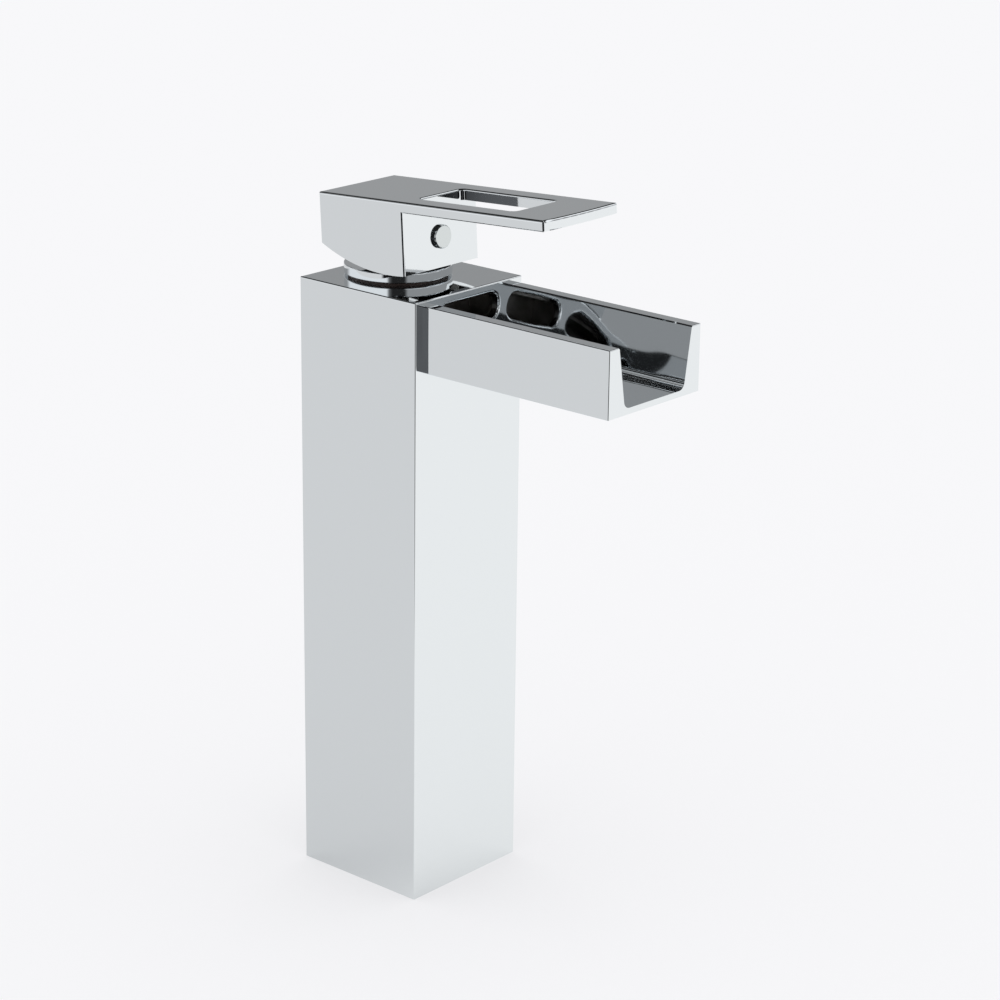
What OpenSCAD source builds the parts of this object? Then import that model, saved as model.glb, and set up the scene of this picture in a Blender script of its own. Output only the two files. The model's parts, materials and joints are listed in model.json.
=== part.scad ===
// Tall waterfall basin mixer: a square column, an open trough spout and a flat lever with a window.
// Millimetres. +Z is up, the spout and the lever point to -Y, and the origin is the mouth of the
// fixing stud hole, in the middle of the face that stands on the deck.

/* [Column] */
// Width and depth of the square column
col_w = 55; // [53:0.5:60]
// Height of the column above the deck
col_h = 222.5; // [160:0.5:260]
// Side wall of the column
col_wall = 3; // [2.4:0.1:3.4]
// Plate that closes the column at its top
col_top = 3; // [2.4:0.1:3.2]
// Radius along the column's outside edges
col_edge = 0.5; // [0.3:0.1:1]

/* [Spout] */
// Strip of the column's face on each side of the trough
spout_side = 3.5; // [3:0.1:4]
// How far the trough stands out from the column's face
spout_reach = 81.8; // [60:0.1:110]
// Outside height of the trough
spout_h = 23.6; // [21:0.1:28]
// How far the trough's rim lies below the column's top
spout_drop = 1.5; // [1:0.1:3]
// Thickness of the side walls at the rim
spout_wall = 5; // [4.6:0.1:5.4]
// Thickness of the trough's floor
spout_floor = 2.3; // [2:0.1:3]
// How far the inner walls lean outwards, in degrees
spout_draft = 9; // [7:0.5:10]
// Radius where the inner walls meet the floor
spout_fillet = 2.8; // [1.5:0.1:4]
// Radius along the trough's outside edges
spout_edge = 0.4; // [0.2:0.1:0.8]

/* [Outlet in the column's face] */
// How far the opening's sides lie inside the foot of the trough's walls
outlet_side = 0.24; // [0.2:0.02:2]
// Height of the opening
outlet_h = 9.7; // [8:0.1:11]
// Corner radius of the opening
outlet_corner = 4.4; // [2.5:0.1:4.7]
// Radius of the rolled lip round the opening
outlet_lip = 1; // [0.5:0.1:1.4]
// Metal left between the column's top plate and the opening
outlet_margin = 0.3; // [0.2:0.1:1]

/* [Lever] */
// How far the lever's sides stand out over the cover ring
lever_over = 0.05; // [0.05:0.05:1]
// Thickness of the lever plate
lever_t = 3.9; // [3.2:0.1:5]
// Length of the lever plate, from its rear face to its front end
lever_l = 103.6; // [85:0.1:120]
// Upward slope of the lever when the tap is shut, in degrees
lever_pitch = 3.34; // [2:0.01:5]
// Height of the lever's top over the column's top, above the column's centre
lever_rise = 30.6; // [30:0.1:34]
// Depth of the block under the lever, front to back
block_d = 39.4; // [38:0.1:41]
// Height of the block at its front face, with the lever plate
block_h = 26.1; // [25:0.1:26.4]
// Radius of the curved underside of the block
block_arc = 70; // [60:1:100]
// How far behind the block's front face its underside is lowest
block_low = 6.3; // [3:0.1:9]
// Side walls of the hollow block
block_wall = 3; // [2.2:0.1:3.4]
// Width of the window through the lever
window_w = 22.4; // [14:0.2:26]
// Length of the window through the lever
window_l = 43.7; // [30:0.1:50]
// Radius of the window's corners
window_corner = 2; // [0.5:0.1:3]
// Radius of the rolled lip round the window
window_lip = 0.7; // [0.3:0.1:1.2]
// Strip of the lever plate between the window and the block
window_ledge = 0.4; // [0.2:0.1:1]
// How far the front end of the lever bows out in its middle
lever_bow = 0.8; // [0.3:0.1:2]
// Radius along the lever's edges
lever_edge = 0.9; // [0.3:0.1:1.1]

/* [Screw plug] */
// Radius of the plug's head
plug_r = 4.2; // [4:0.05:5]
// How far the plug stands out of the block
plug_out = 1.4; // [0.8:0.1:2.4]
// Depth of the plug's centre below the lever's top
plug_drop = 15; // [14.8:0.1:16]

/* [Cover ring and seat washer] */
// Width of the cover ring outside the valve block's neck
ring_wall = 3.15; // [2.6:0.05:3.6]
// Height of the cover ring over the seat washer
ring_h = 3.4; // [3:0.1:3.6]
// Thickness of the brown washer under the ring
washer_t = 0.8; // [0.6:0.1:1.2]
// How far the washer lies back from the ring's edge
washer_back = 1.5; // [0.5:0.1:2.2]

/* [Cartridge] */
// Radius of the valve cartridge
cart_r = 12.5; // [12.3:0.1:12.7]
// Turn of the lever to each side, in degrees
turn_max = 45; // [30:1:50]
// Lift of the lever from shut to fully open, in degrees
lift_max = 18; // [12:1:18]
// Depth of the lever's pivot below the column's top
pivot_drop = 1; // [0.6:0.1:1.4]
// Length of the stem below the pivot
arm_down = 12; // [11.6:0.1:12.4]

/* [Base and supply] */
// Thickness of the base block
base_h = 14; // [13:0.5:18]
// Radius of the fixing stud's tapped hole, an M8 thread's core
stud_r = 3.4; // [3:0.1:4]
// Depth of the fixing stud's hole
stud_deep = 12; // [9:0.5:12.5]
// Radius of the two hose threads, an M10 fine thread's core
hose_r = 4.5; // [4.2:0.1:4.8]
// Depth of the hose threads
hose_deep = 8; // [6:0.5:9]
// Distance between the two risers
riser_gap = 26; // [25:0.5:27]
// Outside radius of the riser tubes
riser_r = 4; // [3.6:0.1:4.2]
// Wall of the riser tubes
riser_wall = 1; // [0.6:0.1:1.2]

/* [Hidden] */
$fn = 96;
// Overrun of the cuts
cut = 1;
// Gap between parts that are put together and stay still
fit_gap = 0.1;
// Gap of a shaft that turns in its hole
run_gap = 0.08;
// Free space round a part that moves past another
move_gap = 0.3;

// Column
in_w = col_w - 2 * col_wall;
front_y = -col_w / 2;
post_w = 8;
post_h = 14;

// Trough: heights from its rim, which lies below the column's top
spout_w = col_w - 2 * spout_side;
trough_floor = spout_floor - spout_h;
rim_half = spout_w / 2 - spout_wall;
floor_half = rim_half + trough_floor * tan(spout_draft);

// Outlet opening: its width, and its centre seen from the column's top
outlet_w = 2 * (floor_half - outlet_side);
outlet_z = -col_top - outlet_margin - outlet_h / 2;

// Valve block: it hangs from the top plate, as far back as the column allows
chamber_gap = 0.3;
neck_wall = 3.2;
valve_shoulder = 1.9;
neck_r = cart_r + chamber_gap + neck_wall;
valve_r = neck_r + valve_shoulder;
valve_y = in_w / 2 - valve_r - move_gap - fit_gap;
valve_box_w = 39;
valve_box_h = 17;
valve_ledge = 0.15;
valve_box_y = valve_r + valve_ledge;
nut_step = 1.75;
nut_r = neck_r - nut_step;

// Cartridge, from the column's top downwards
shoulder_drop = 5;
shoulder_t = 2;
flange_t = 3.1;
hub_gap = 0.4;
tip_r = 2.2;
driver_t = 2.1;
disc_t = 2.6;
disc_gap = 0.05;
fixed_t = 3;
cart_base_t = 4;
cart_wall = 1.5;
cavity_r = cart_r - cart_wall;
flange_top = -shoulder_drop - shoulder_t - fit_gap;
flange_bottom = flange_top - flange_t;
pivot_z = -pivot_drop;
tip_z = pivot_z - arm_down;
pocket_floor = tip_z - tip_r - move_gap;
disc_top = pocket_floor - driver_t;
disc_bottom = disc_top - disc_t;
fixed_top = disc_bottom - disc_gap;
fixed_bottom = fixed_top - fixed_t;
chamber_floor = fixed_bottom - cart_base_t;
valve_bottom = chamber_floor - valve_box_h;

// Carrier, stem and pivot pin
carrier_r = 7.9;
collar_wall = 1.42;
collar_r = carrier_r + run_gap + collar_wall;
collar_top = 3.3;
carrier_proud = 0.4;
carrier_top = collar_top + carrier_proud;
flange_r = cavity_r - move_gap;
stem_w = 6;
arm_t = 2.6;
pin_r = 1.25;
pin_back = 0.7;
pin_l = 2 * (carrier_r - pin_back);
slot_w = stem_w + 2 * move_gap;
slot_front = 6;
slot_back = 5.4;

// Stop: a lug in the housing stands in a notch of the carrier's flange
stop_w = 3;
stop_in = 1.8;
stop_slack = 1;
stop_r = cavity_r - stop_in;
stop_turn = turn_max + atan(stop_w / 2 / stop_r) + stop_slack;

// Discs and their driver: the disc swings evenly about the cartridge's axis over its whole travel
tip_y = -arm_down * sin(lever_pitch);
disc_travel = arm_down * (sin(lever_pitch + lift_max) - sin(lever_pitch));
disc_y = disc_travel / 2;
disc_r = cavity_r - disc_travel / 2 - 2 * move_gap;
pocket_w = stem_w + 2 * move_gap;
pocket_d = 2 * tip_r + move_gap;
hub_wall = 1.6;
mix_r = 4.2;
mix_deep = 1.3;

// Ports of the cartridge, from its axis
port_r = 2;
inlet_x = 5.5;
inlet_y = 3;
mixed_y = -5.2;
peg_r = 1.2;
peg_h = 2;
peg_in = 2.9;
peg_x = cart_r - peg_in;
peg_y = -3;

// Ring, neck and nut above the column's top
ring_r = neck_r + ring_wall;
ring_bottom = washer_t;
ring_top = ring_bottom + ring_h;
ring_lip = 1.2;
neck_gap = 0.3;
neck_top = ring_top - ring_lip - neck_gap;
nut_sunk = 0.4;
nut_top = neck_top - nut_sunk;
ring_hole_gap = 0.8;
ring_hole = collar_r + ring_hole_gap;
ring_round_low = 0.4;
ring_round_top = 0.4;
nut_bore = collar_r + move_gap;
spanner_w = 3;
spanner_deep = 2;

// Passages in the valve block
riser_x = riser_gap / 2;
riser_y = valve_y + inlet_y;
passage_r = riser_r - riser_wall;
socket_deep = 8;
gallery_deep = 5.6;
gallery_z = chamber_floor - gallery_deep;
gallery_r = 2.5;
drill_past = 0.5;
duct_bore = 4;

// Seals
ring_seal_r = 0.8;
seal_deep = 2 * ring_seal_r + fit_gap;
seal_bore = riser_r + 2 * ring_seal_r + fit_gap;
port_seal_r = 0.65;

// Duct from the valve block to the opening in the face
duct_side = 1.7;
duct_w = outlet_w + 2 * duct_side;
duct_wall = 1.2;
duct_seal_r = (duct_wall / 2 + fit_gap) / 2;
duct_front = front_y + col_wall + fit_gap;
duct_back = valve_y - valve_box_y - 2 * fit_gap;
duct_top = -col_top - 2 * fit_gap;
duct_bottom = gallery_z - duct_bore - duct_wall - 2 * ring_seal_r - fit_gap;

// Trough: its floor's round corners, its screws and its seal
fillet_x = floor_half - spout_fillet * (1 - sin(spout_draft)) / cos(spout_draft);
rim_edge = 0.45;
spout_screw_r = 1.5;
spout_screw_in = 3.2;
spout_screw_x = spout_w / 2 - spout_screw_in;
spout_screw_shares = [0.28, 0.71];
spout_screw_l = 10;
screw_head_r = 2.7;
screw_head_h = 1.9;
screw_socket = 0.7;
spout_seal_w = 2 * fillet_x;
spout_seal_t = 1.1;

// Base
base_screw_r = 1.5;
base_screw_at = in_w / 2 - post_w / 2;
base_screw_l = 20;
base_head_deep = 3;
gasket_t = 2.2;
gasket_back = 1.2;
gasket_w = 1.8;
gasket_out = in_w / 2 - gasket_back;
gasket_in = gasket_out - gasket_w;
foot_socket = 4;

// Lever: y and z of the pivot in the lever's own tilted frame
lever_w = 2 * (ring_r + lever_over);
stem_y = valve_y * cos(lever_pitch) - (pivot_z - lever_rise) * sin(lever_pitch);
stem_z = valve_y * sin(lever_pitch) + (pivot_z - lever_rise) * cos(lever_pitch);
stem_off = 1.35;
block_front = stem_y - block_d / 2 - stem_off;
block_back = block_front + block_d;
lever_front = block_back - lever_l;
bow_r = (pow(lever_w / 2, 2) + pow(lever_bow, 2)) / (2 * lever_bow);
bow_fn = 720;
block_bottom = -block_h;
roof_t = 3;
pocket_top = -lever_t - roof_t;
boss_w = 13;
boss_wall = 3.5;
boss_under = 4.8;
boss_bottom = -plug_drop - boss_under;
stem_sunk = 2.3;
stem_top = -lever_t - stem_sunk;
grub_r = 2.5;
grub_l = 8;
plug_lip = 0.3;
plug_bore = plug_r - plug_lip;
plug_deep = 3;
plug_round = 0.5;

// Rectangle with round corners, about its centre
module round_rect(w, h, r) {
    square([w - 2 * r, h], center = true);
    square([w, h - 2 * r], center = true);
    for (x = [-1, 1], y = [-1, 1])
        translate([x * (w / 2 - r), y * (h / 2 - r)]) circle(r);
}

// Slab with every edge rounded: centred in x and y, and standing on z = 0
module soft_slab(w, d, h, r) {
    translate([0, 0, h / 2]) intersection() {
        linear_extrude(h, center = true) round_rect(w, d, r);
        rotate([90, 0, 0]) linear_extrude(d, center = true) round_rect(w, h, r);
        rotate([90, 0, 90]) linear_extrude(w, center = true) round_rect(d, h, r);
    }
}

// What a rolled lip takes off an edge: the wall is at x = 0, and the face is at y = 0
module lip_profile(lip) {
    difference() {
        translate([0, -lip]) square([lip, lip + cut]);
        translate([lip, -lip]) circle(lip);
    }
}

// Cutter for a window with round corners and a rolled lip: its mouth is at z = 0 and looks to +z
module lipped_window(w, h, corner, lip, depth) {
    translate([0, 0, -depth]) linear_extrude(depth + cut) round_rect(w, h, corner);
    for (side = [0, 180]) rotate([0, 0, side]) {
        translate([w / 2, h / 2 - corner, 0]) rotate([90, 0, 0])
            linear_extrude(h - 2 * corner) lip_profile(lip);
        rotate([0, 0, 90]) translate([h / 2, w / 2 - corner, 0]) rotate([90, 0, 0])
            linear_extrude(w - 2 * corner) lip_profile(lip);
    }
    for (x = [-1, 1], y = [-1, 1])
        translate([x * (w / 2 - corner), y * (h / 2 - corner), 0])
            rotate_extrude() translate([corner, 0]) lip_profile(lip);
}

// Half section of a disc with round edges, standing on y = 0
module soft_profile(r, h, low, top) {
    translate([0, low]) square([r, h - low - top]);
    square([r - low, h - top]);
    translate([0, low]) square([r - top, h - low]);
    translate([r - low, low]) circle(low);
    translate([r - top, h - top]) circle(top);
}

// Straight hole or rod along z, from one height to another
module rod(r, from, to) {
    translate([0, 0, from]) cylinder(r = r, h = to - from);
}

// Ring of square section, from one height to another
module collar(r_out, r_in, from, to) {
    difference() {
        rod(r_out, from, to);
        rod(r_in, from - cut, to + cut);
    }
}

// Round rubber ring lying flat on z = 0 round a hole or a tube
module rubber_ring(r_in, r_cord) {
    translate([0, 0, r_cord]) rotate_extrude() translate([r_in + r_cord, 0]) circle(r_cord);
}

// Box given by its two corners
module box(low, high) {
    translate(low) cube(high - low);
}

// Places of the parts
module at_top() { translate([0, 0, col_h]) children(); }
module at_valve() { translate([0, valve_y, col_h]) children(); }
module at_lever() { translate([0, 0, col_h + lever_rise]) rotate([-lever_pitch, 0, 0]) children(); }
module at_spout() { translate([0, front_y, col_h - spout_drop]) children(); }
module at_risers() { for (x = [-riser_x, riser_x]) translate([x, riser_y, 0]) children(); }
module at_posts() {
    for (x = [-1, 1], y = [-1, 1])
        translate([x * base_screw_at, y * base_screw_at, 0]) children();
}
module at_spout_screws() {
    for (x = [-spout_screw_x, spout_screw_x], share = spout_screw_shares)
        translate([x, 0, -share * spout_h]) children();
}
module at_ports() {
    for (x = [-inlet_x, inlet_x]) translate([x, inlet_y, 0]) children();
    translate([0, mixed_y, 0]) children();
}

// Column: a square shell, closed at its top, with screw posts in the corners of its foot
module column_body() {
    color("gainsboro") difference() {
        intersection() {
            translate([0, 0, -col_edge]) soft_slab(col_w, col_w, col_h + col_edge, col_edge);
            box([-col_w, -col_w, 0], [col_w, col_w, col_h]);
        }
        difference() {
            box([-in_w / 2, -in_w / 2, -cut], [in_w / 2, in_w / 2, col_h - col_top]);
            at_posts()
                box([-post_w / 2, -post_w / 2, base_h], [post_w / 2, post_w / 2, base_h + post_h]);
        }
        at_posts() rod(base_screw_r + fit_gap / 2, base_h - cut, base_h + post_h + cut);
        at_valve() rod(neck_r + fit_gap, -col_top - cut, cut);
        at_top() translate([0, front_y, outlet_z]) rotate([90, 0, 0])
            lipped_window(outlet_w, outlet_h, outlet_corner, outlet_lip, col_wall + cut);
        at_spout() at_spout_screws() rotate([90, 0, 0])
            rod(spout_screw_r + fit_gap, -col_wall - cut, cut);
    }
}

// Base block: closes the foot, and takes the fixing stud and the two hoses
module base_block() {
    side = in_w / 2 - fit_gap;
    color("darkgoldenrod") difference() {
        box([-side, -side, 0], [side, side, base_h]);
        rod(stud_r, -cut, stud_deep);
        at_risers() {
            rod(hose_r, -cut, hose_deep);
            rod(passage_r, 0, base_h);
            rod(riser_r + fit_gap / 2, base_h - foot_socket, base_h + cut);
            rod(seal_bore, base_h - seal_deep, base_h + cut);
        }
        at_posts() {
            rod(base_screw_r + fit_gap, -cut, base_h + cut);
            rod(screw_head_r + fit_gap, -cut, base_head_deep);
        }
        collar(gasket_out + fit_gap, gasket_in - fit_gap, -cut, gasket_t);
    }
}

// Rubber ring between the tap and the deck, in its groove
module base_gasket() {
    color("dimgray") collar(gasket_out, gasket_in, 0, gasket_t);
}

// Four screws that hold the base block to the posts
module base_screws() {
    color("silver") at_posts() difference() {
        union() {
            rod(screw_head_r, base_head_deep - screw_head_h, base_head_deep);
            rod(base_screw_r, base_head_deep - cut, base_head_deep + base_screw_l);
        }
        rod(screw_socket, 0, base_head_deep - screw_head_h / 2);
    }
}

// Riser tube from the base block to the valve block
module riser(side) {
    foot = base_h - foot_socket + fit_gap;
    head = col_h + valve_bottom + socket_deep - fit_gap;
    translate([side * riser_x, riser_y, 0]) collar(riser_r, riser_r - riser_wall, foot, head);
}
module hot_riser() { color("peru") riser(-1); }
module cold_riser() { color("peru") riser(1); }

// Rubber rings at both ends of both risers
module riser_seals() {
    color("dimgray") at_risers() {
        translate([0, 0, base_h - seal_deep + fit_gap / 2])
            rubber_ring(riser_r + fit_gap / 2, ring_seal_r);
        translate([0, 0, col_h + valve_bottom + fit_gap / 2])
            rubber_ring(riser_r + fit_gap / 2, ring_seal_r);
    }
}

// Valve block: hangs from the top plate, holds the cartridge and sends the mixed water forwards
module valve_block() {
    half = valve_box_w / 2;
    color("goldenrod") at_valve() difference() {
        union() {
            rod(neck_r, chamber_floor, neck_top);
            rod(valve_r, chamber_floor, -col_top - fit_gap);
            box([-half, -valve_box_y, valve_bottom], [half, valve_box_y, chamber_floor]);
        }
        rod(cart_r + chamber_gap, chamber_floor, neck_top + cut);
        rod(nut_r + fit_gap / 2, -shoulder_drop - fit_gap, neck_top + cut);
        for (x = [-1, 1]) {
            translate([x * inlet_x, inlet_y, 0]) rod(port_r, gallery_z, chamber_floor + cut);
            translate([0, inlet_y, gallery_z]) rotate([0, x * 90, 0])
                rod(gallery_r, inlet_x - port_r - drill_past, riser_x);
            translate([x * riser_x, inlet_y, 0]) {
                rod(passage_r, valve_bottom, gallery_z + gallery_r + drill_past);
                rod(riser_r + fit_gap / 2, valve_bottom - cut, valve_bottom + socket_deep);
                rod(seal_bore, valve_bottom - cut, valve_bottom + seal_deep);
            }
            translate([x * peg_x, peg_y, 0])
                rod(peg_r + fit_gap, chamber_floor - peg_h - fit_gap, chamber_floor + cut);
        }
        translate([0, mixed_y, 0]) rod(port_r, gallery_z, chamber_floor + cut);
        translate([0, 0, gallery_z]) rotate([90, 0, 0])
            rod(duct_bore, -mixed_y - port_r - drill_past, valve_box_y + cut);
    }
}

// Cartridge housing: a round shell with a collar that guides the turning carrier, and a stop lug
module cartridge_housing() {
    color("whitesmoke") at_valve() difference() {
        union() {
            rod(cart_r, fixed_bottom, -shoulder_drop);
            rod(collar_r, -shoulder_drop - cut, collar_top);
        }
        difference() {
            rod(cavity_r, fixed_bottom - cut, -shoulder_drop - shoulder_t);
            box([-stop_w / 2, stop_r, flange_bottom], [stop_w / 2, cavity_r + cut, 0]);
        }
        rod(carrier_r + run_gap, -shoulder_drop - shoulder_t - cut, collar_top + cut);
    }
}

// Cartridge base: carries the fixed disc, and two pegs stop it turning
module cartridge_base() {
    color("lightsteelblue") at_valve() {
        difference() {
            rod(cart_r, chamber_floor, fixed_bottom);
            at_ports() {
                rod(port_r, chamber_floor - cut, fixed_bottom + cut);
                rod(port_r + 2 * port_seal_r, chamber_floor - cut, chamber_floor + 2 * port_seal_r);
            }
        }
        for (x = [-peg_x, peg_x]) translate([x, peg_y, 0])
            rod(peg_r, chamber_floor - peg_h, chamber_floor + cut);
    }
}

// Three rubber rings round the ports under the cartridge
module cartridge_seals() {
    color("black") at_valve() at_ports() translate([0, 0, chamber_floor])
        rubber_ring(port_r, port_seal_r - fit_gap / 4);
}

// Fixed ceramic disc with its three ports
module fixed_disc() {
    color("ivory") at_valve() difference() {
        rod(cavity_r - fit_gap, fixed_bottom, fixed_top);
        at_ports() rod(port_r, fixed_bottom - cut, fixed_top + cut);
    }
}

// Brass nut that clamps the cartridge
module cartridge_nut() {
    color("goldenrod") at_valve() difference() {
        rod(nut_r, -shoulder_drop, nut_top);
        rod(nut_bore, -shoulder_drop - cut, nut_top + cut);
        for (turn = [0, 90]) rotate([0, 0, turn])
            box([-nut_r - cut, -spanner_w / 2, nut_top - spanner_deep],
                [nut_r + cut, spanner_w / 2, nut_top + cut]);
    }
}

// Brown washer between the column's top and the cover ring
module seat_washer() {
    color("saddlebrown") at_valve() collar(ring_r - washer_back, neck_r + fit_gap, 0, washer_t);
}

// Cover ring: screwed on the valve block's neck
module cover_ring() {
    color("gainsboro") at_valve() difference() {
        translate([0, 0, ring_bottom]) rotate_extrude()
            soft_profile(ring_r, ring_h, ring_round_low, ring_round_top);
        rod(neck_r + fit_gap / 2, ring_bottom - cut, ring_top - ring_lip);
        rod(ring_hole, ring_bottom - cut, ring_top + cut);
    }
}

// Duct: a shallow box that lifts the mixed water to the opening in the face
module outlet_duct() {
    half = duct_w / 2;
    color("darkgoldenrod") at_top() difference() {
        box([-half, duct_front, duct_bottom], [half, duct_back, duct_top]);
        box([duct_wall - half, duct_front + duct_wall, duct_bottom + duct_wall],
            [half - duct_wall, duct_back - duct_wall, duct_top - duct_wall]);
        translate([0, duct_front - cut, outlet_z]) rotate([-90, 0, 0])
            linear_extrude(duct_wall + 2 * cut) round_rect(outlet_w, outlet_h, outlet_corner);
        translate([0, duct_back, gallery_z]) rotate([90, 0, 0]) {
            rod(duct_bore, -cut, duct_wall + cut);
            rod(duct_bore + 2 * duct_seal_r + fit_gap, -cut, duct_wall / 2);
        }
    }
}

// Rubber ring between the valve block and the duct
module duct_seal() {
    color("dimgray") at_top() translate([0, duct_back, gallery_z]) rotate([90, 0, 0])
        translate([0, 0, (duct_wall - fit_gap) / 2 - 2 * duct_seal_r])
            rubber_ring(duct_bore, duct_seal_r);
}

// Trough: an open channel, with inner walls that lean outwards and round floor corners
module spout_trough() {
    inside = [for (side = [1, -1]) each [
        [side * fillet_x, trough_floor],
        [side * (fillet_x + spout_fillet * cos(spout_draft)),
         trough_floor + spout_fillet * (1 - sin(spout_draft))],
        [side * rim_half, -rim_edge],
        [side * (rim_half + rim_edge), 0],
        [side * (rim_half + rim_edge), cut]]];
    outline = [for (k = [0:4]) inside[k], for (k = [9:-1:5]) inside[k]];
    color("gainsboro") at_spout() difference() {
        intersection() {
            translate([0, spout_edge - (spout_reach + spout_edge) / 2, -spout_h])
                soft_slab(spout_w, spout_reach + spout_edge, spout_h, spout_edge);
            box([-spout_w, -spout_reach, -spout_h], [spout_w, 0, 0]);
        }
        translate([0, cut, 0]) rotate([90, 0, 0]) linear_extrude(spout_reach + 2 * cut) {
            polygon(outline);
            for (x = [-fillet_x, fillet_x])
                translate([x, trough_floor + spout_fillet]) circle(spout_fillet);
        }
        at_spout_screws() rotate([90, 0, 0]) rod(spout_screw_r + fit_gap / 2, -cut, spout_screw_l);
        translate([0, 0, -spout_h + spout_floor / 2])
            box([-spout_seal_w / 2, -spout_seal_t, -spout_seal_t / 2],
                [spout_seal_w / 2, cut, spout_seal_t / 2]);
    }
}

// Rubber strip that seals the trough's floor to the column's face
module spout_seal() {
    half = spout_seal_w / 2 - fit_gap;
    thick = spout_seal_t / 2 - fit_gap / 2;
    color("dimgray") at_spout() translate([0, 0, -spout_h + spout_floor / 2])
        box([-half, fit_gap - spout_seal_t, -thick], [half, 0, thick]);
}

// Four screws from inside the column into the trough's side walls
module spout_screws() {
    color("silver") at_spout() at_spout_screws() translate([0, col_wall, 0]) rotate([90, 0, 0])
        difference() {
            union() {
                rod(screw_head_r, -screw_head_h, 0);
                rod(spout_screw_r, -screw_head_h / 2, spout_screw_l + col_wall - fit_gap);
            }
            rod(screw_socket, -screw_head_h - cut, -screw_head_h / 2);
        }
}

// Carrier: turns in the housing, and its slot lets the stem rock on the pivot pin
module stem_carrier() {
    color("lightgray") at_valve() difference() {
        union() {
            rod(carrier_r, flange_bottom, carrier_top);
            rod(flange_r, flange_bottom, flange_top);
        }
        box([-slot_w / 2, -slot_front, flange_bottom - cut],
            [slot_w / 2, slot_back, carrier_top + cut]);
        translate([0, 0, pivot_z]) rotate([0, 90, 0])
            rod(pin_r + fit_gap / 4, -carrier_r - cut, carrier_r + cut);
        difference() {
            translate([0, 0, flange_bottom - cut]) linear_extrude(flange_t + 2 * cut)
                polygon([[0, 0], cavity_r * [tan(stop_turn), 1], cavity_r * [-tan(stop_turn), 1]]);
            rod(stop_r - move_gap, flange_bottom - 2 * cut, flange_top + 2 * cut);
        }
    }
}

// Pin that the stem rocks on
module pivot_pin() {
    color("silver") at_valve() translate([0, 0, pivot_z]) rotate([0, 90, 0])
        rod(pin_r, -pin_l / 2, pin_l / 2);
}

// Driver: the stem's round tip sits in its pocket and pushes it to and fro
module disc_driver() {
    hub = [pocket_w / 2 + hub_wall, pocket_d / 2 + hub_wall];
    color("lightsteelblue") at_valve() difference() {
        union() {
            translate([0, disc_y, 0]) rod(disc_r, disc_top, pocket_floor);
            translate([0, tip_y, 0])
                box([-hub[0], -hub[1], disc_top], [hub[0], hub[1], flange_bottom - hub_gap]);
        }
        translate([0, tip_y, 0])
            box([-pocket_w / 2, -pocket_d / 2, pocket_floor],
                [pocket_w / 2, pocket_d / 2, flange_bottom]);
    }
}

// Moving ceramic disc, with the hollow that joins the ports
module moving_disc() {
    color("ivory") at_valve() difference() {
        translate([0, disc_y, 0]) rod(disc_r, disc_bottom, disc_top);
        translate([0, mixed_y / 4 + disc_y, 0]) rod(mix_r, disc_bottom - cut, disc_bottom + mix_deep);
    }
}

// Stem: rocks on the pin, carries the lever above and drives the disc below
module lever_stem() {
    half = stem_w / 2;
    color("goldenrod") at_lever() translate([0, stem_y, stem_z]) difference() {
        union() {
            box([-half, -half, 0], [half, half, stem_top - stem_z]);
            rotate([0, 90, 0]) rod(half + fit_gap, -half, half);
            box([-half, -arm_t / 2, -arm_down], [half, arm_t / 2, 0]);
            translate([0, 0, -arm_down]) rotate([0, 90, 0]) rod(tip_r, -half, half);
        }
        rotate([0, 90, 0]) rod(pin_r + run_gap, -stem_w, stem_w);
    }
}

// Lever: a flat plate with a window, over a hollow block with a curved underside
module lever_handle() {
    inner = lever_w / 2 - block_wall;
    foot = block_bottom - cut;
    long = lever_l + 2 * cut;
    color("gainsboro") at_lever() difference() {
        intersection() {
            union() {
                intersection() {
                    translate([0, block_back + cut, -lever_t / 2]) rotate([90, 0, 0])
                        linear_extrude(long) round_rect(lever_w, lever_t, lever_edge);
                    translate([0, lever_front + bow_r, -lever_t])
                        rotate_extrude($fn = bow_fn)
                            soft_profile(bow_r, lever_t, lever_edge, lever_edge);
                }
                intersection() {
                    translate([0, block_front + (block_d + cut) / 2, foot])
                        linear_extrude(block_h + cut - lever_t / 2)
                            round_rect(lever_w, block_d + cut, lever_edge);
                    translate([0, block_front + block_low, block_bottom + block_arc])
                        rotate([0, 90, 0])
                            cylinder(r = block_arc, h = lever_w + 2 * cut, center = true, $fn = bow_fn);
                }
            }
            translate([0, block_back - long / 2, foot])
                linear_extrude(block_h + 2 * cut) round_rect(lever_w, long, lever_edge);
            translate([0, block_back - long / 2, foot / 2]) rotate([90, 0, 90])
                linear_extrude(lever_w + 2 * cut, center = true) round_rect(long, -foot, lever_edge);
        }
        // Front corners
        translate([0, lever_front, -lever_t - cut]) linear_extrude(lever_t + 2 * cut) lever_corners();
        // Window
        translate([0, block_front - window_ledge - window_l / 2, 0])
            lipped_window(window_w, window_l, window_corner, window_lip, lever_t + cut);
        // Hollow of the block, round the boss that takes the stem
        difference() {
            box([-inner, block_front + block_wall, foot], [inner, block_back - block_wall, pocket_top]);
            box([-boss_w / 2, block_front, boss_bottom],
                [boss_w / 2, stem_y + stem_w / 2 + boss_wall, pocket_top + cut]);
        }
        // Socket for the stem
        translate([0, stem_y, 0])
            box([-stem_w / 2 - fit_gap / 2, -stem_w / 2 - fit_gap / 2, foot],
                [stem_w / 2 + fit_gap / 2, stem_w / 2 + fit_gap / 2, stem_top + fit_gap]);
        // Holes for the grub screw and its plug
        translate([0, 0, -plug_drop]) rotate([90, 0, 0]) {
            rod(grub_r + fit_gap / 2, -stem_y, -block_front);
            rod(plug_bore, -block_front - plug_deep - fit_gap, cut - block_front);
        }
    }
}

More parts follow.
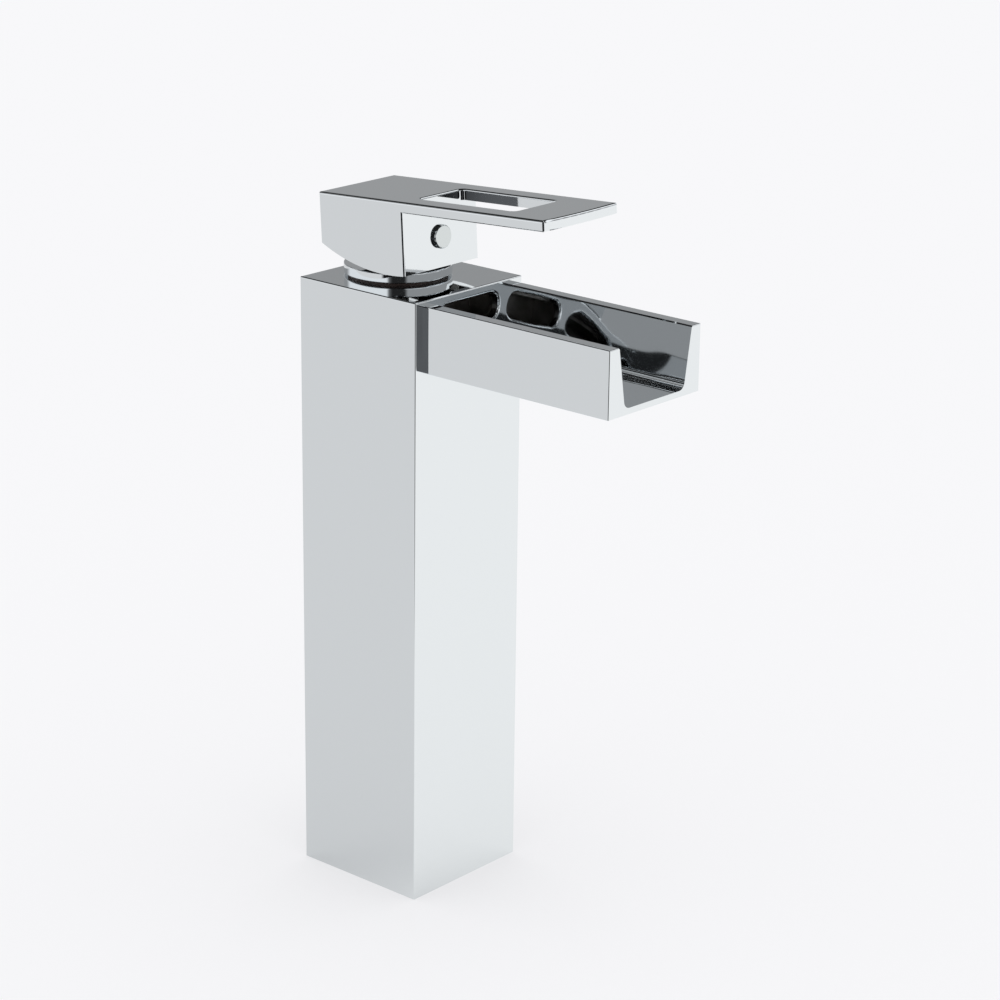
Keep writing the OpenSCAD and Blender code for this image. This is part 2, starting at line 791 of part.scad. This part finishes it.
// What the round corners take off the plan of the lever's bowed front end
module lever_corners() {
    side_x = lever_w / 2 - lever_edge;
    corner = [side_x, bow_r - sqrt(pow(bow_r - lever_edge, 2) - pow(side_x, 2))];
    out = (corner - [0, bow_r]) / norm(corner - [0, bow_r]);
    for (side = [0, 1]) mirror([side, 0]) difference() {
        polygon([corner, corner + [2 * cut, 0], corner + 2 * cut * [1, -1], corner + 2 * cut * out]);
        translate(corner) circle(lever_edge);
    }
}

// Grub screw that clamps the lever to the stem
module grub_screw() {
    face = stem_w / 2 + fit_gap / 2 - stem_y;
    color("dimgray") at_lever() translate([0, 0, -plug_drop]) rotate([90, 0, 0]) difference() {
        rod(grub_r, face, face + grub_l);
        translate([0, 0, face + grub_l / 2]) cylinder(r = grub_r / 2, h = grub_l, $fn = 6);
    }
}

// Plug that hides the grub screw
module screw_plug() {
    color("gainsboro") at_lever() translate([0, block_front, -plug_drop]) rotate([90, 0, 0]) {
        rotate_extrude() {
            translate([0, fit_gap / 2]) square([plug_r, plug_out - plug_round - fit_gap / 2]);
            square([plug_r - plug_round, plug_out]);
            translate([plug_r - plug_round, plug_out - plug_round]) circle(plug_round);
        }
        rod(plug_bore - fit_gap / 2, -plug_deep, plug_out / 2);
    }
}

column_body();
base_block();
base_gasket();
base_screws();
hot_riser();
cold_riser();
riser_seals();
valve_block();
cartridge_housing();
cartridge_base();
cartridge_seals();
fixed_disc();
cartridge_nut();
seat_washer();
cover_ring();
outlet_duct();
duct_seal();
spout_trough();
spout_seal();
spout_screws();
stem_carrier();
pivot_pin();
disc_driver();
moving_disc();
lever_stem();
lever_handle();
grub_screw();
screw_plug();
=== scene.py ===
# %% [markdown]
# # A chrome waterfall basin faucet
#
# The faucet is a tall square column with an open trough for a spout and a flat lever on top. All
# of it is chrome plated, so this scene is a lesson about mirrors: a polished part has hardly any
# colour of its own, and what we see on it is the room. The shapes come from the CAD model, which
# is loaded first as a fixed frame in metres. After that we set up the camera, the studio and the
# finishes.

# %% The frame
import json
import math
import bpy
import numpy as np
from mathutils import Matrix, Vector

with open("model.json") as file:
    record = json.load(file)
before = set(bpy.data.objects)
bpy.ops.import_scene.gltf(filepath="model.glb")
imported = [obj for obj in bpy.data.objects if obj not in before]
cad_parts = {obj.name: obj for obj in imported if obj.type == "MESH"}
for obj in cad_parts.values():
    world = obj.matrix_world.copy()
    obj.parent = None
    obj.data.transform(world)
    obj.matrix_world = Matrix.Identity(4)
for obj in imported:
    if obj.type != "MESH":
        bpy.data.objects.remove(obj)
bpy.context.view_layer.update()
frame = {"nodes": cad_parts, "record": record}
nodes = frame["nodes"]

# %% [markdown]
# ## The camera
#
# The picture was taken from the front left, about a metre away and from a little above, with a
# long lens. Three angles say where it looks from: the azimuth round the column, the elevation
# over the deck and a small roll. We build the camera's three axes from them with plain vectors,
# because that shows what a camera matrix is: its columns are the camera's right, up and back.

# %% Camera
AZIMUTH, ELEVATION, ROLL = (math.radians(v) for v in (-49.025, 18.551, -0.716))
CAMERA_AT = Vector((-0.72278, -0.67023, 0.47064))
FRAME_PX = 1000.0          # width of the picture in pixels
FOCAL_PX = 2892.0          # focal length in the same pixels
SENSOR_MM = 36.0           # width of the sensor


def camera_axes(azimuth, elevation, roll):
    """Right, up and back. Right is level, back points from the object to the camera, up is their
    cross product, and the roll turns right and up about back."""
    right = Vector((math.cos(azimuth), math.sin(azimuth), 0.0))
    back = Vector((math.sin(azimuth) * math.cos(elevation),
                   -math.cos(azimuth) * math.cos(elevation), math.sin(elevation)))
    up = back.cross(right)
    return (math.cos(roll) * right - math.sin(roll) * up,
            math.sin(roll) * right + math.cos(roll) * up, back)


scene = bpy.context.scene
lens = bpy.data.cameras.new("studio_camera")
lens.sensor_fit, lens.sensor_width = "HORIZONTAL", SENSOR_MM
lens.lens = FOCAL_PX / FRAME_PX * SENSOR_MM
lens.clip_start, lens.clip_end = 0.05, 60.0
camera = bpy.data.objects.new("studio_camera", lens)
scene.collection.objects.link(camera)
right, up, back = camera_axes(AZIMUTH, ELEVATION, ROLL)
turn = Matrix((right, up, back)).transposed().to_4x4()
camera.matrix_world = Matrix.Translation(CAMERA_AT) @ turn
scene.camera = camera
print("lens: %.1f mm" % lens.lens)

# %% [markdown]
# ## The studio
#
# A chrome part is lit by what stands around it. Each flat face shows one direction only: the left
# and the front faces look down on the pale table, the top faces look up at a wall behind the
# table, and every rounded edge sweeps from one to the other. On such a sweep the eye reads a thin
# dark line as "metal", so the studio needs dark things as well as light ones: the ceiling is dark,
# and so is the narrow sector where the camera stands. The flanks on both sides are white cards.
# To the camera itself the background stays plain and pale.
#
# All of this is made of shader nodes. A colour is easiest to pick as it looks on screen, and the
# shaders want linear light, so the first helper turns one into the other. The second one adds
# nodes and wires them, which keeps each formula on a line or two.

# %% Colours
def linear(r, g, b):
    """A colour written as it looks on screen, 0 to 255, turned into the linear values that shaders
    use: below 0.04045 it is divided by 12.92, and above it is ((c + 0.055) / 1.055) ** 2.4."""
    c = np.array([r, g, b]) / 255.0
    return tuple(np.where(c <= 0.04045, c / 12.92, ((c + 0.055) / 1.055) ** 2.4)) + (1.0,)


print("half grey on screen is %.3f of the light" % linear(128, 128, 128)[0])

# %% Node helpers
MIX_INPUT = {"RGBA": 6, "FLOAT": 2}     # number of the first value's socket on a mix node
MIX_OUTPUT = {"RGBA": 2, "FLOAT": 0}


class Wires:
    """Adds nodes to a tree and wires them in one call: values go to sockets by name or number."""

    def __init__(self, tree):
        self.tree = tree

    def plug(self, node, socket, value):
        """Wires an output into a node's input, or sets the input to a fixed value."""
        if isinstance(value, bpy.types.NodeSocket):
            self.tree.links.new(value, node.inputs[socket])
        else:
            node.inputs[socket].default_value = value

    def add(self, kind, inputs=(), **settings):
        """A new node: the settings are its attributes, and the inputs its sockets' values."""
        node = self.tree.nodes.new(kind)
        for name, value in settings.items():
            setattr(node, name, value)
        for socket, value in dict(inputs).items():
            self.plug(node, socket, value)
        return node

    def math(self, operation, a, b=0.0):
        """The result of one sum, product or the like."""
        return self.add("ShaderNodeMath", {0: a, 1: b}, operation=operation).outputs[0]

    def dot(self, vector, way):
        """How far a vector reaches along a fixed way."""
        return self.add("ShaderNodeVectorMath", {0: vector, 1: tuple(way)},
                        operation="DOT_PRODUCT").outputs[1]

    def smooth(self, value, low, high, out_low=0.0, out_high=1.0):
        """A soft step: out_low below low, out_high above high, and an S curve between them."""
        return self.add("ShaderNodeMapRange", {0: value, 1: low, 2: high, 3: out_low, 4: out_high},
                        interpolation_type="SMOOTHSTEP").outputs[0]

    def mix(self, factor, a, b, kind="RGBA", blend="MIX"):
        """From a at factor 0 to b at factor 1: colours, or plain numbers with the kind FLOAT."""
        first = MIX_INPUT[kind]
        node = self.add("ShaderNodeMix", {0: factor}, data_type=kind, blend_type=blend)
        self.plug(node, first, a)
        self.plug(node, first + 1, b)
        return node.outputs[MIX_OUTPUT[kind]]


def blank_material(name):
    """A material with an empty node tree and its output node."""
    material = bpy.data.materials.new(name)
    material.use_nodes = True
    material.node_tree.nodes.clear()
    wires = Wires(material.node_tree)
    return material, wires, wires.add("ShaderNodeOutputMaterial")


view_way = Vector((back.x, back.y, 0.0)).normalized()
side_way = Vector((right.x, right.y, 0.0)).normalized()
print("towards the camera: (%.2f, %.2f)" % (view_way.x, view_way.y))

# %% [markdown]
# ### The floor
#
# A white sweep of paper would take the faucet's shadow and a lamp's falloff, and the chrome would
# show both. Here the floor glows a little by itself, so it stays even, and it has two faces: one
# plain colour for the camera, and for mirrors a pale table with painted light and shade: lighter to
# the right and in front, darker to the left and behind, and with a dark wedge of painted shade on
# the camera's side. A point is in the wedge if it lies further towards the camera than the edge
# plus its own sideways offset. A grey patch in the middle of the wedge is a painted reflection of
# the camera's stand. The chrome needs it: the inner corner between trough and column sends the view
# straight back there.

# %% Floor material
FLOOR_SEEN = linear(249, 249, 251)      # what the camera sees
FLOOR_PAINTED_LIGHT = linear(250, 251, 251)    # painted light: what the chrome sees to the right and in front
FLOOR_PAINTED_SHADE = linear(221, 222, 223)    # painted shade: what it sees to the left and behind
LIGHT_EDGE = 0.04                       # half the width of the step between those two
TABLE_EDGE = 0.30                       # how far the reflected table reaches towards the camera
TABLE_SOFT = 0.08                       # half the width of the table's soft edge
STAND_IN, STAND_OUT = 0.03, 0.09        # the stand's painted reflection fades out between these half widths
# the grey of the stand's painted reflection, and the painted shade of the wedge on the camera's side
STAND_PAINTED_REFLECTION, WEDGE_PAINTED_SHADE = linear(98, 99, 101), linear(22, 22, 24)
SELF_LIT = 0.6                          # share of the pale colour that no shadow can darken


def floor_material():
    """Pale and matt with a faint shadow, and for mirrors the table in painted light and shade, the
    wedge of painted shade and the painted reflection of the stand.
    """
    material, w, out = blank_material("pale_floor")
    place = w.add("ShaderNodeTexCoord").outputs["Object"]
    way = w.dot(place, view_way)
    across = w.dot(place, side_way)
    offset = w.math("ABSOLUTE", across)
    # for mirrors only: painted light on the table to the right and in front, painted shade to the left
    # and behind
    pale = w.mix(w.smooth(across, -LIGHT_EDGE, LIGHT_EDGE), FLOOR_PAINTED_SHADE, FLOOR_PAINTED_LIGHT)
    # for mirrors only: a painted reflection of the camera's stand inside a wedge of painted shade
    stand = w.mix(w.smooth(offset, STAND_IN, STAND_OUT), STAND_PAINTED_REFLECTION, WEDGE_PAINTED_SHADE)
    wedge = w.smooth(w.math("SUBTRACT", way, offset),
                     TABLE_EDGE - TABLE_SOFT, TABLE_EDGE + TABLE_SOFT)
    rays = w.add("ShaderNodeLightPath").outputs
    glossy = w.math("MAXIMUM", rays["Is Glossy Ray"], rays["Is Transmission Ray"])
    seen = w.math("MAXIMUM", rays["Is Camera Ray"], glossy)
    colour = w.mix(glossy, FLOOR_SEEN, w.mix(wedge, pale, stand))
    matt_face = w.add("ShaderNodeBsdfDiffuse", {"Color": colour})
    glow = w.add("ShaderNodeEmission", {"Color": colour, "Strength": 1.0})
    share = w.math("MULTIPLY", seen, SELF_LIT)
    surface = w.add("ShaderNodeMixShader", {0: share, 1: matt_face.outputs[0], 2: glow.outputs[0]})
    w.plug(out, "Surface", surface.outputs[0])
    return material


pale_floor = floor_material()
print("floor material:", len(pale_floor.node_tree.nodes), "nodes")

# %% Floor
FLOOR_REACH = 9.0          # from the middle to each side, in metres
FLOOR_LINES = 13           # lines of points each way
FLOOR_LOW = 0.0002         # under the foot, so that the two faces don't flicker


def grid_mesh(name, points):
    """A mesh from a (rows, columns, 3) array of points: each cell of the grid is one quad."""
    rows, columns = points.shape[:2]
    index = np.arange(rows * columns).reshape(rows, columns)
    quads = np.stack([index[:-1, :-1], index[:-1, 1:], index[1:, 1:], index[1:, :-1]], axis=-1)
    mesh = bpy.data.meshes.new(name)
    mesh.from_pydata(points.reshape(-1, 3).tolist(), [], quads.reshape(-1, 4).tolist())
    mesh.update()
    return mesh


line = np.linspace(-FLOOR_REACH, FLOOR_REACH, FLOOR_LINES)
u, v = np.meshgrid(line, line)
table = np.stack([u, v, np.full_like(u, -FLOOR_LOW)], axis=-1)
floor = bpy.data.objects.new("floor", grid_mesh("floor", table))
scene.collection.objects.link(floor)
floor.data.materials.append(pale_floor)
print("floor:", len(floor.data.polygons), "quads")

# %% [markdown]
# ### The room
#
# The world is a function of direction, so the whole studio fits in one formula, where lamps and
# cards would have to be placed and aimed one by one. Up to some twenty degrees over the horizon
# there are white cards on both flanks, a grey wall behind the table and a dark gap where the
# camera stands. Higher up is the dark ceiling, with one soft lamp on the right and a grey panel on
# the left, which the trough's floor shows. Rays from matt surfaces and from the camera see plain
# pale light instead.

# %% World
CARD_LEFT, CARD_RIGHT = 0.90, 0.95      # brightness of the white cards
CARD_TOP = 0.30                         # of the right card's upper part
WALL, WALL_TOP = 0.33, 0.297            # of the wall behind the table, and of its upper part
LAMP = 1.0                              # of the soft lamp high up on the right
PANEL = 0.30                            # of the grey panel over the left card
CEILING = 0.02                          # of the ceiling and of the gap round the camera
LAMP_WAY = (0.72, -0.32, 0.62)          # direction of the lamp
PLAIN_LIGHT = linear(252, 252, 252)     # what matt surfaces and the camera see
TINT = linear(251, 253, 255)            # of everything that a mirror sees
CARD_FADE = (0.06, 0.24)                # heights between which the right card loses its light
CARD_SEAM = (-0.4, 0.4)                 # aside: from the left card to the right one
WALL_FADE = (0.17, 0.22)                # heights of the step to the wall's upper part
WALL_EDGE = (0.45, 0.75)                # ahead: from the cards to the wall
GAP_EDGE = (-0.975, -0.945)             # ahead: from the dark gap to the cards
SPOT_EDGE = (0.92, 0.97)                # cosines at the rim of the dark spot round the camera
CEILING_EDGE = (0.33, 0.42)             # heights where cards and wall end
LAMP_EDGE = (0.95, 0.975)               # cosines at the rim of the lamp
PANEL_EDGE = (0.15, 0.45)               # to the left: where the panel begins
PANEL_TOP = (0.55, 0.65)                # heights where the panel ends


def studio_world():
    """Brightness by direction. The height is z of the unit direction, ahead is its dot product with
    the way that the camera looks, and aside the one with the camera's right. Soft steps in ahead
    lead from the camera's dark gap to the cards and on to the wall, and one in height ends them.
    A dark spot round the camera's own direction stands for the camera and whoever holds it."""
    world = bpy.data.worlds.new("studio_world")
    world.use_nodes = True
    world.node_tree.nodes.clear()
    w = Wires(world.node_tree)
    way = w.add("ShaderNodeTexCoord").outputs["Generated"]
    height = w.add("ShaderNodeSeparateXYZ", {0: way}).outputs["Z"]
    ahead = w.dot(way, -view_way)
    aside = w.dot(way, side_way)
    right_card = w.smooth(height, *CARD_FADE, CARD_RIGHT, CARD_TOP)
    cards = w.mix(w.smooth(aside, *CARD_SEAM), CARD_LEFT, right_card, kind="FLOAT")
    wall = w.smooth(height, *WALL_FADE, WALL, WALL_TOP)
    round_room = w.mix(w.smooth(ahead, *WALL_EDGE), cards, wall, kind="FLOAT")
    gap = w.math("MULTIPLY", w.smooth(ahead, *GAP_EDGE),
                 w.smooth(w.dot(way, back), *SPOT_EDGE, 1.0, 0.0))
    below_ceiling = w.math("SUBTRACT", 1.0, w.smooth(height, *CEILING_EDGE))
    bright = w.math("MULTIPLY", w.math("MULTIPLY", round_room, gap), below_ceiling)
    lamp = w.math("MULTIPLY", w.smooth(w.dot(way, LAMP_WAY), *LAMP_EDGE), LAMP)
    panel = w.math("MULTIPLY", w.smooth(w.math("MULTIPLY", aside, -1.0), *PANEL_EDGE),
                   w.smooth(height, *PANEL_TOP, PANEL, 0.0))
    level = w.math("ADD", w.math("MAXIMUM", w.math("MAXIMUM", bright, lamp), panel), CEILING)
    grey = w.add("ShaderNodeCombineColor", {0: level, 1: level, 2: level}).outputs[0]
    tinted = w.mix(1.0, TINT, grey, blend="MULTIPLY")
    rays = w.add("ShaderNodeLightPath").outputs
    mirror = w.math("MAXIMUM", rays["Is Glossy Ray"], rays["Is Transmission Ray"])
    colour = w.mix(mirror, PLAIN_LIGHT, tinted)
    background = w.add("ShaderNodeBackground", {"Color": colour, "Strength": 1.0})
    w.plug(w.add("ShaderNodeOutputWorld"), "Surface", background.outputs[0])
    return world


scene.world = studio_world()
scene.view_settings.view_transform = "Standard"
print("world:", scene.world.name, len(scene.world.node_tree.nodes), "nodes")

# %% [markdown]
# ## Shared effects
#
# Polished plating is never perfect: it has a faint waviness from the polishing wheel, a little
# haze and fine hairlines. They must stay very weak, or the reflection breaks up. One node group
# makes them for every bright part, with its own strengths in each material. We take the trough to
# be cast and polished by hand, so its waves are the deepest, and they bend what its walls reflect.

# %% Polish
CLOUD_SCALE, CLOUD_STEP = 38.0, (0.35, 0.75)    # the large haze, and its soft step in the noise
SMEAR_SCALE, SMEAR_STEP = 190.0, (0.25, 0.8)    # the same for the small haze
LINE_SCALE, LINE_STRETCH = 2600.0, 0.04         # the hairlines, and how they stretch along z
WAVE_SCALE = 55.0                               # waves about 18 mm long


def group(name, inputs, outputs):
    """A shader node group with named sockets: each input has a kind and a default value, and each
    output a kind."""
    tree = bpy.data.node_groups.new(name, "ShaderNodeTree")
    for label, (kind, default) in inputs.items():
        socket = tree.interface.new_socket(label, in_out="INPUT", socket_type=kind)
        socket.default_value = default
    for label, kind in outputs.items():
        tree.interface.new_socket(label, in_out="OUTPUT", socket_type=kind)
    w = Wires(tree)
    return tree, w, w.add("NodeGroupInput"), w.add("NodeGroupOutput")


def noise(w, place, scale, detail):
    """Noise by place: a larger scale makes it finer, and detail adds smaller copies of it."""
    return w.add("ShaderNodeTexNoise", {
        "Vector": place, "Scale": scale, "Detail": detail}).outputs[0]


def polish_group():
    """Haze: two sizes of noise around a base roughness. The height is the sum of hairlines, which
    are noise stretched along z, and a slow wave."""
    tree, w, i, o = group("polish", {
        "Roughness": ("NodeSocketFloat", 0.04), "Haze": ("NodeSocketFloat", 0.02),
        "Hairlines": ("NodeSocketFloat", 0.1), "Wave": ("NodeSocketFloat", 0.3)},
        {"Roughness": "NodeSocketFloat", "Height": "NodeSocketFloat"})
    place = w.add("ShaderNodeTexCoord").outputs["Object"]
    cloud = noise(w, place, CLOUD_SCALE, 3.0)
    smear = noise(w, place, SMEAR_SCALE, 2.0)
    both = w.math("MULTIPLY", w.smooth(cloud, *CLOUD_STEP), w.smooth(smear, *SMEAR_STEP))
    rough = w.math("MULTIPLY_ADD", both, i.outputs["Haze"])
    w.plug(rough.node, 2, i.outputs["Roughness"])
    drawn = w.add("ShaderNodeMapping", {"Vector": place, "Scale": (1.0, 1.0, LINE_STRETCH)}).outputs[0]
    lines = noise(w, drawn, LINE_SCALE, 1.0)
    waves = noise(w, place, WAVE_SCALE, 0.0)
    height = w.math("ADD", w.math("MULTIPLY", lines, i.outputs["Hairlines"]),
                    w.math("MULTIPLY", waves, i.outputs["Wave"]))
    w.plug(o, "Roughness", rough)
    w.plug(o, "Height", height)
    return tree


polish = polish_group()
print("group:", polish.name, len(polish.nodes), "nodes")

# %% [markdown]
# Cast, moulded and fired surfaces are matt. Their colour isn't quite even and they have a grain
# that breaks the highlight. Fine noise makes the grain, and slow noise blends two close colours.

# %% Grain
PATCH_SCALE = 120.0                     # patches about 8 mm wide
PATCH_STEP = (0.35, 0.7)                # noise values of the soft step between the two colours
MIDDLE = 0.5                            # the middle of the noise, which leaves the gloss as it is
SPREAD = 0.1                            # how much rougher or smoother the grain makes it


def grain_group():
    """Colour, roughness and height of a matt surface."""
    tree, w, i, o = group("grain", {
        "Colour": ("NodeSocketColor", (0.5, 0.5, 0.5, 1.0)),
        "Patches": ("NodeSocketColor", (0.4, 0.4, 0.4, 1.0)),
        "Scale": ("NodeSocketFloat", 900.0), "Roughness": ("NodeSocketFloat", 0.5),
        "Spread": ("NodeSocketFloat", SPREAD)},
        {"Colour": "NodeSocketColor", "Roughness": "NodeSocketFloat", "Height": "NodeSocketFloat"})
    place = w.add("ShaderNodeTexCoord").outputs["Object"]
    fine = noise(w, place, i.outputs["Scale"], 4.0)
    slow = noise(w, place, PATCH_SCALE, 2.0)
    colour = w.mix(w.smooth(slow, *PATCH_STEP), i.outputs["Colour"], i.outputs["Patches"])
    rough = w.math("MULTIPLY_ADD", w.math("SUBTRACT", fine, MIDDLE), i.outputs["Spread"])
    w.plug(rough.node, 2, i.outputs["Roughness"])
    w.plug(o, "Colour", colour)
    w.plug(o, "Roughness", rough)
    w.plug(o, "Height", fine)
    return tree


grain = grain_group()
print("group:", grain.name, len(grain.nodes), "nodes")

# %% [markdown]
# ## Finishes
#
# ### Chrome
#
# Chrome's own colour is a slightly blue grey. The plating here sends back about 86 percent of the
# light. The column, the lever and the ring share one chrome. The trough has the deeper waves, and
# the small plug over the screw is a little duller. A bump node multiplies the group's height by a
# depth in metres, so the depths below are lengths: the waves are a few micrometres deep on the
# column and at most about a quarter of a millimetre in the trough. They tilt the reflection and
# leave the mesh as it is.

# %% Chrome
def group_node(w, tree, values):
    """A node group placed in a material, with its own values."""
    finish = w.add("ShaderNodeGroup", node_tree=tree)
    for label, value in values.items():
        finish.inputs[label].default_value = value
    return finish


def bumped(w, finish, depth):
    """The normal that a group's height gives, for a depth in metres."""
    return w.add("ShaderNodeBump", {
        "Strength": 1.0, "Distance": depth, "Height": finish.outputs["Height"]}).outputs[0]


def metal(name, colour, roughness, haze, hairlines, wave, depth):
    """A polished or drawn metal: the group shapes its roughness and a very shallow bump."""
    material, w, out = blank_material(name)
    finish = group_node(w, polish, {
        "Roughness": roughness, "Haze": haze, "Hairlines": hairlines, "Wave": wave})
    surface = w.add("ShaderNodeBsdfPrincipled", {
        "Base Color": colour, "Metallic": 1.0,
        "Roughness": finish.outputs["Roughness"], "Normal": bumped(w, finish, depth)})
    w.plug(out, "Surface", surface.outputs[0])
    return material


PLATING = linear(236, 239, 241)
chrome = metal("polished_chrome", PLATING, 0.035, haze=0.03, hairlines=0.05, wave=0.9,
               depth=0.000006)
wavy_chrome = metal("wavy_chrome", PLATING, 0.035, haze=0.03, hairlines=0.0, wave=0.9,
                    depth=0.0003)
plug_chrome = metal("plug_chrome", linear(218, 222, 222), 0.06, haze=0.05, hairlines=0.1,
                    wave=0.3, depth=0.000004)
finishes = {
    "chrome_body": chrome, "chrome_lever": chrome, "chrome_ring": chrome,
    "chrome_spout": wavy_chrome, "chrome_plug": plug_chrome,
}
print("chrome slots:", len(finishes))

# %% [markdown]
# ### Metals inside
#
# The pieces inside the column aren't polished. Tubes and screws are drawn and brushed, so they
# are metals with more haze and stronger hairlines. The valve block and the foot are raw cast
# brass, and the water duct, the cartridge nut and the lever's stem are dull nickel over brass: for
# those the grain group fits better.

# %% Inner metals
def matt(name, colour, patches, roughness, scale=900.0, depth=0.00002, metallic=0.0):
    """A matt or moulded surface: the group gives its colour, roughness and grain."""
    material, w, out = blank_material(name)
    finish = group_node(w, grain, {
        "Colour": colour, "Patches": patches, "Scale": scale, "Roughness": roughness,
        "Spread": SPREAD})
    surface = w.add("ShaderNodeBsdfPrincipled", {
        "Base Color": finish.outputs["Colour"], "Metallic": metallic,
        "Roughness": finish.outputs["Roughness"], "Normal": bumped(w, finish, depth)})
    w.plug(out, "Surface", surface.outputs[0])
    return material


finishes["copper_tube"] = metal("copper_tube", linear(204, 132, 98), 0.22, haze=0.12,
                                hairlines=0.8, wave=0.3, depth=0.000004)
finishes["screw_steel"] = metal("screw_steel", linear(188, 188, 190), 0.26, haze=0.1,
                                hairlines=0.8, wave=0.3, depth=0.000004)
finishes["cast_brass"] = matt("cast_brass", linear(196, 160, 96), linear(170, 134, 78), 0.42,
                              depth=0.00004, metallic=1.0)
finishes["duct_metal"] = matt("dull_nickel", linear(150, 147, 143), linear(126, 123, 119), 0.4,
                              metallic=1.0)
print("with the inner metals:", len(finishes))

# %% [markdown]
# ### Rubber, plastic, fibre and ceramic
#
# These aren't metals, so their colour is in the base and their gloss is only in the roughness. In
# the picture the brown fibre washer shows as a thin line under the ring.

# %% Other materials
finishes["brown_fibre"] = matt("brown_fibre", linear(62, 44, 38), linear(40, 29, 26), 0.5,
                               scale=2400.0)
finishes["black_rubber"] = matt("black_rubber", linear(30, 30, 31), linear(22, 22, 23), 0.62,
                                scale=1500.0)
finishes["white_plastic"] = matt("white_plastic", linear(232, 232, 226), linear(222, 222, 214), 0.4)
finishes["grey_plastic"] = matt("grey_plastic", linear(148, 156, 166), linear(138, 146, 156), 0.42)
finishes["ceramic"] = matt("lapped_ceramic", linear(238, 234, 224), linear(230, 226, 214), 0.18,
                           depth=0.000004)
print("all finishes:", len(finishes))

# %% [markdown]
# The record names a material slot for every piece. We look each one up and give the piece the
# finish of its slot. The shapes themselves stay the CAD's own.

# %% Finish of each piece
slot_of = {s["node"]: s["material_slot"] for s in frame["record"]["subparts"]}
for name, node in nodes.items():
    node.data.materials.clear()
    node.data.materials.append(finishes[slot_of[name]])
print("pieces with a finish:", len(nodes))
